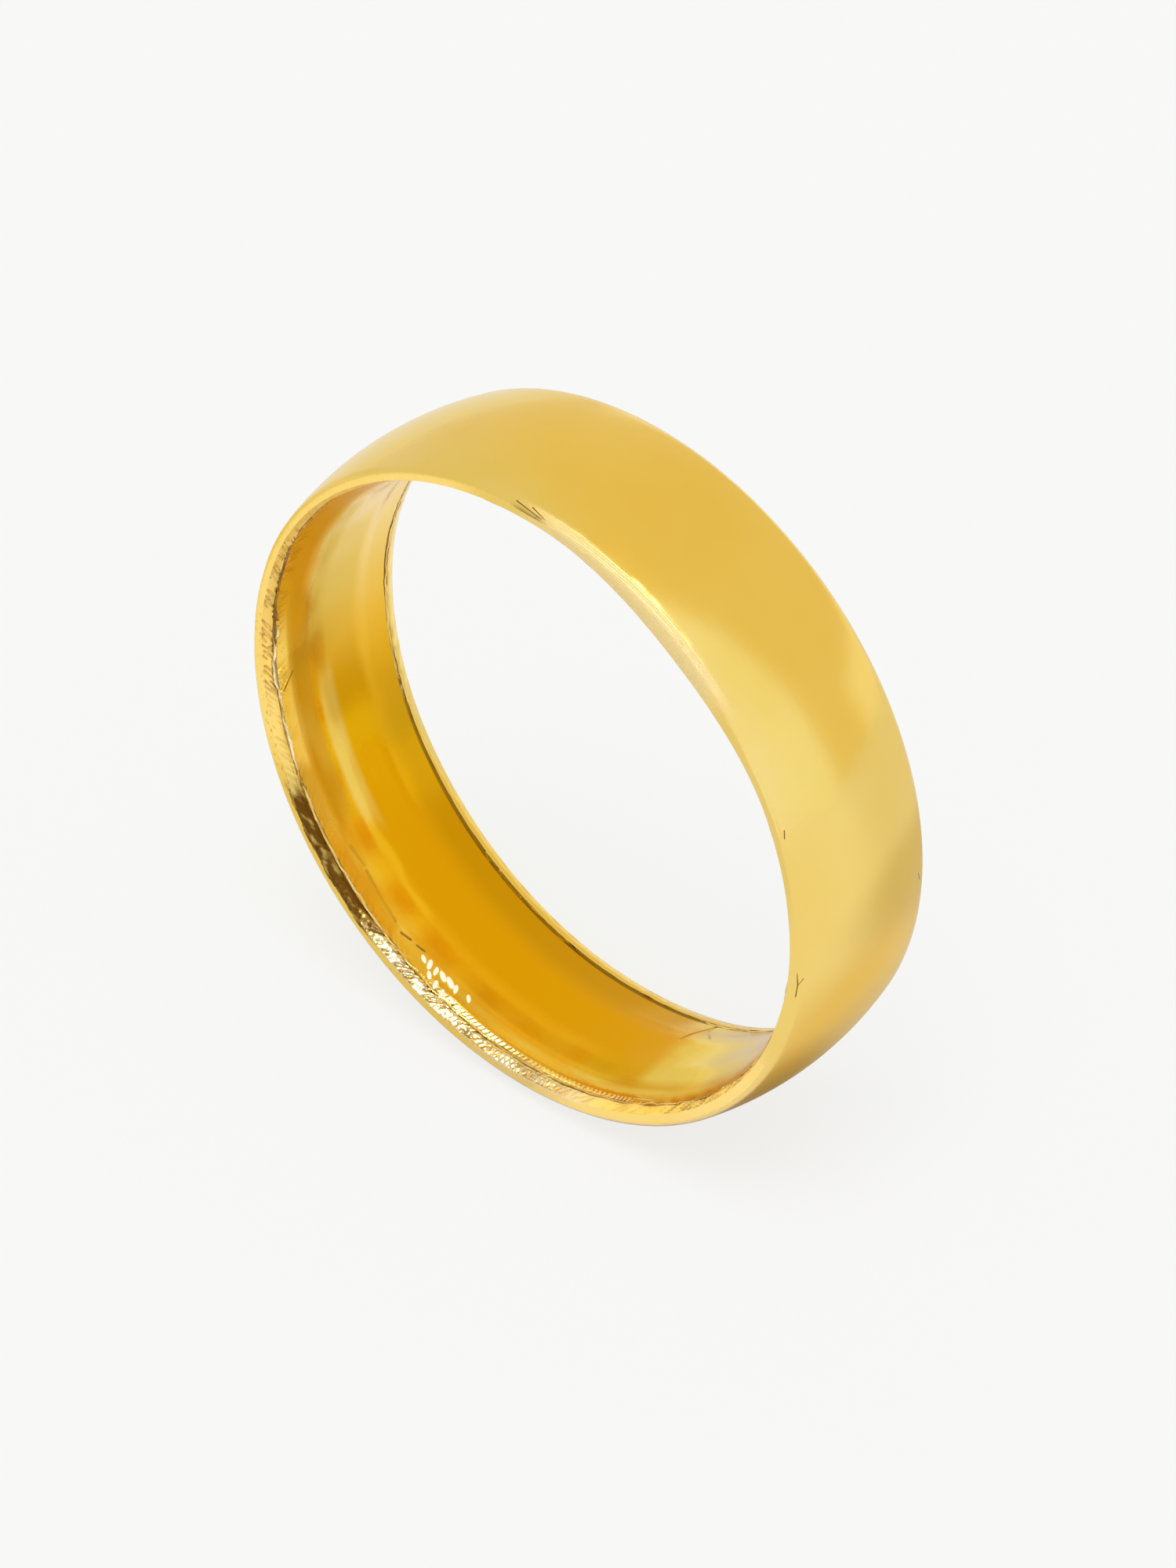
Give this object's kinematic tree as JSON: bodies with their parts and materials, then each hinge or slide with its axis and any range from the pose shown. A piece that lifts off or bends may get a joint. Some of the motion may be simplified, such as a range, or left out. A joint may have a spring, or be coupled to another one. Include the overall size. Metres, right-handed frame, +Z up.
{
  "type": "wedding band",
  "caption": "Court-profile wedding band of yellow gold: a hollow domed shell with turned-in rims, a lining sleeve in the bore and soldered joints.",
  "frame": {"origin": "centre of the bore, half way between the two rim faces", "axes": "+Y along the band's axis, from the front rim to the back rim; +Z up with the band standing on its edge; +X to the right"},
  "size_m": [0.02, 0.005, 0.02],
  "materials": {
    "polished_gold": "polished",
    "lining_gold": "polished",
    "gold_solder": "satin"
  },
  "bodies": {
    "root": {"outer_shell": "polished_gold", "shell_seam": "gold_solder", "inner_sleeve": "lining_gold", "sleeve_seam": "gold_solder", "front_rim_solder": "gold_solder", "back_rim_solder": "gold_solder"}
  },
  "joints": []
}
